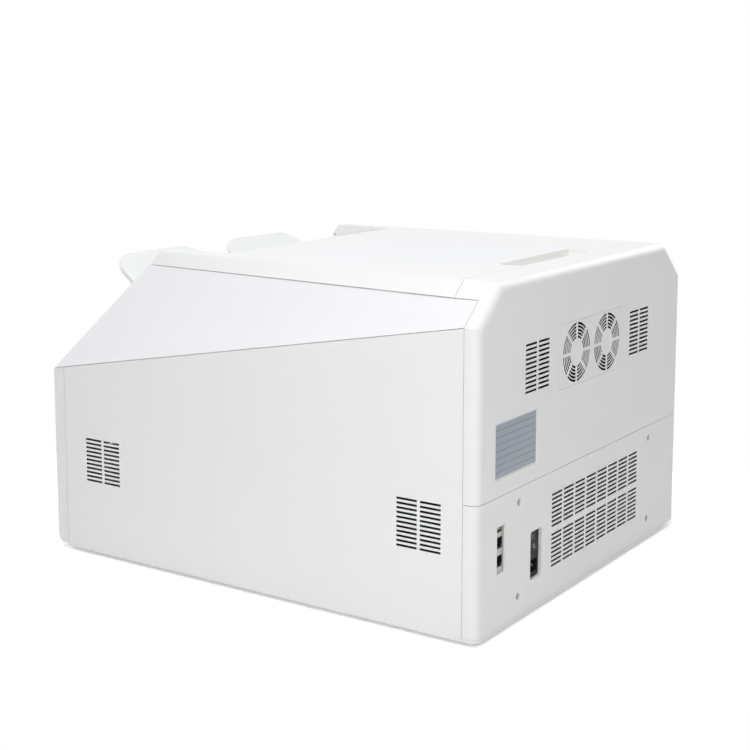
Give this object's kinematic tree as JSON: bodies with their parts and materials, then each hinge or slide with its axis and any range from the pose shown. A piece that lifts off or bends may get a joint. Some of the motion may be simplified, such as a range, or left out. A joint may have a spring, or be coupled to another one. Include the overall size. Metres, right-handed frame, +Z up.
{
  "type": "x-ray dry film printer",
  "caption": "Desktop dry printer for x-ray film: slanted console, film tray on the front slope, lifting lid, film drawers on runners, louvred sides, rear fans and ports.",
  "frame": {"origin": "on the table under the middle of the machine", "axes": "+Z up, -Y towards the front with the drawers, +X towards the right side seen from the front"},
  "size_m": [0.612, 0.708, 0.442],
  "materials": {
    "white_panel": "fine satin white powder paint",
    "white_cover": "satin white moulding",
    "bay_plastic": "satin white moulding",
    "tray_plastic": "satin white with a faint green cast",
    "base_steel": "satin white powder paint",
    "foot_rubber": "matte black",
    "lamp_plastic": "clear tinted",
    "screen_glass": "gloss black",
    "button_plastic": "satin grey",
    "steel": "ground",
    "sheet_steel": "zinc plated",
    "tray_metal": "satin",
    "black_plastic": "satin black",
    "socket_metal": "plated",
    "contact_brass": "plated",
    "roller_rubber": "ground rubber",
    "drum_metal": "satin",
    "roller_plastic": "satin dark grey",
    "bush_plastic": "natural",
    "motor_metal": "black with plated ends",
    "belt_rubber": "toothed inside",
    "head_ceramic": "glazed",
    "heatsink_metal": "extruded",
    "board_plastic": "solder mask"
  },
  "bodies": {
    "case": {"side_panel_right": "white_panel", "side_panel_left": "white_panel", "upper_side_panel_right": "white_panel", "upper_side_panel_left": "white_panel", "front_cover": "white_cover", "console_panel": "white_cover", "rear_upper_cover": "white_cover", "rear_lower_cover": "white_cover", "fan_plate": "white_cover", "exit_bay": "bay_plastic", "output_tray": "tray_plastic", "base_plate": "base_steel", "rubber_feet": "foot_rubber", "status_lamps": "lamp_plastic", "touch_screen": "screen_glass", "rear_cover_screws": "steel", "side_frame_right": "sheet_steel", "side_frame_left": "sheet_steel", "cross_bars": "sheet_steel", "panel_supports": "sheet_steel", "outer_runners": "sheet_steel", "film_guides": "sheet_steel", "interface_plate": "sheet_steel", "power_supply": "sheet_steel", "fan_frames": "black_plastic", "power_inlet": "black_plastic", "data_sockets": "socket_metal", "inlet_contacts": "contact_brass", "shaft_bushes": "bush_plastic", "drive_motor": "motor_metal", "pick_motors": "motor_metal", "drive_belt": "belt_rubber", "thermal_head": "head_ceramic", "head_heatsink": "heatsink_metal", "control_board": "board_plastic"},
    "lid": {"top_cover": "white_cover", "cover_pins": "steel"},
    "lower_drawer": {"lower_drawer_face": "white_cover", "lower_film_tray": "tray_metal", "lower_inner_runners": "sheet_steel"},
    "upper_drawer": {"upper_drawer_face": "white_cover", "upper_film_tray": "tray_metal", "upper_inner_runners": "sheet_steel"},
    "lower_middle": {"lower_middle_runners": "sheet_steel"},
    "upper_middle": {"upper_middle_runners": "sheet_steel"},
    "fan_left": {"fan_rotor_left": "black_plastic"},
    "fan_right": {"fan_rotor_right": "black_plastic"},
    "rocker": {"power_rocker": "black_plastic"},
    "button": {"power_button": "button_plastic"},
    "drum": {"drum_sleeve": "drum_metal", "drum_shaft": "steel"},
    "platen": {"platen_sleeve": "roller_rubber", "platen_shaft": "steel"},
    "exit_lower": {"exit_lower_roller": "roller_plastic"},
    "exit_upper": {"exit_upper_roller": "roller_plastic"},
    "pick_lower": {"pick_lower_shaft": "steel", "pick_lower_tyres": "roller_rubber"},
    "pick_upper": {"pick_upper_shaft": "steel", "pick_upper_tyres": "roller_rubber"},
    "motor": {"motor_shaft": "steel"}
  },
  "joints": [
    {"name": "lid_hinge", "type": "hinge", "parent": "case", "child": "lid", "pos_m": [0, -0.21664, 0.4258], "axis": [1, 0, 0], "range_deg": [0, 50]},
    {"name": "lower_drawer_slide", "type": "slide", "parent": "case", "child": "lower_drawer", "axis": [0, -1, 0], "range_m": [0, 0.4]},
    {"name": "upper_drawer_slide", "type": "slide", "parent": "case", "child": "upper_drawer", "axis": [0, -1, 0], "range_m": [0, 0.4]},
    {"name": "lower_middle_slide", "type": "slide", "parent": "case", "child": "lower_middle", "axis": [0, -1, 0], "range_m": [0, 0.2]},
    {"name": "upper_middle_slide", "type": "slide", "parent": "case", "child": "upper_middle", "axis": [0, -1, 0], "range_m": [0, 0.2]},
    {"name": "fan_left_spin", "type": "hinge", "parent": "case", "child": "fan_left", "pos_m": [-0.0485, 0.334, 0.325], "axis": [0, 1, 0], "continuous": true},
    {"name": "fan_right_spin", "type": "hinge", "parent": "case", "child": "fan_right", "pos_m": [0.0445, 0.334, 0.325], "axis": [0, 1, 0], "continuous": true},
    {"name": "rocker_tilt", "type": "hinge", "parent": "case", "child": "rocker", "pos_m": [0.1525, 0.344, 0.093], "axis": [1, 0, 0], "range_deg": [-18, 0]},
    {"name": "button_press", "type": "slide", "parent": "case", "child": "button", "axis": [0, 0.7682, -0.6402], "range_m": [0, 0.0015], "stiffness_N_per_m": 300, "springref_m": -0.0015},
    {"name": "drum_spin", "type": "hinge", "parent": "case", "child": "drum", "pos_m": [0, 0.17, 0.33], "axis": [1, 0, 0], "continuous": true},
    {"name": "platen_spin", "type": "hinge", "parent": "case", "child": "platen", "pos_m": [0, 0.03, 0.38], "axis": [1, 0, 0], "continuous": true},
    {"name": "exit_lower_spin", "type": "hinge", "parent": "case", "child": "exit_lower", "pos_m": [0, -0.08, 0.3978], "axis": [1, 0, 0], "continuous": true},
    {"name": "exit_upper_spin", "type": "hinge", "parent": "case", "child": "exit_upper", "pos_m": [0, -0.08, 0.4122], "axis": [1, 0, 0], "continuous": true},
    {"name": "pick_lower_spin", "type": "hinge", "parent": "case", "child": "pick_lower", "pos_m": [0, 0.1, 0.0755], "axis": [1, 0, 0], "continuous": true},
    {"name": "pick_upper_spin", "type": "hinge", "parent": "case", "child": "pick_upper", "pos_m": [0, 0.1, 0.1955], "axis": [1, 0, 0], "continuous": true},
    {"name": "motor_spin", "type": "hinge", "parent": "case", "child": "motor", "pos_m": [0, 0.088, 0.3], "axis": [1, 0, 0], "continuous": true}
  ],
  "couplings": [
    {"joint": "lower_middle_slide", "follows": "lower_drawer_slide", "ratio": 0.5},
    {"joint": "upper_middle_slide", "follows": "upper_drawer_slide", "ratio": 0.5},
    {"joint": "platen_spin", "follows": "drum_spin", "ratio": 2.8333},
    {"joint": "exit_lower_spin", "follows": "drum_spin", "ratio": 4.8571},
    {"joint": "motor_spin", "follows": "drum_spin", "ratio": 3.0222}
  ]
}
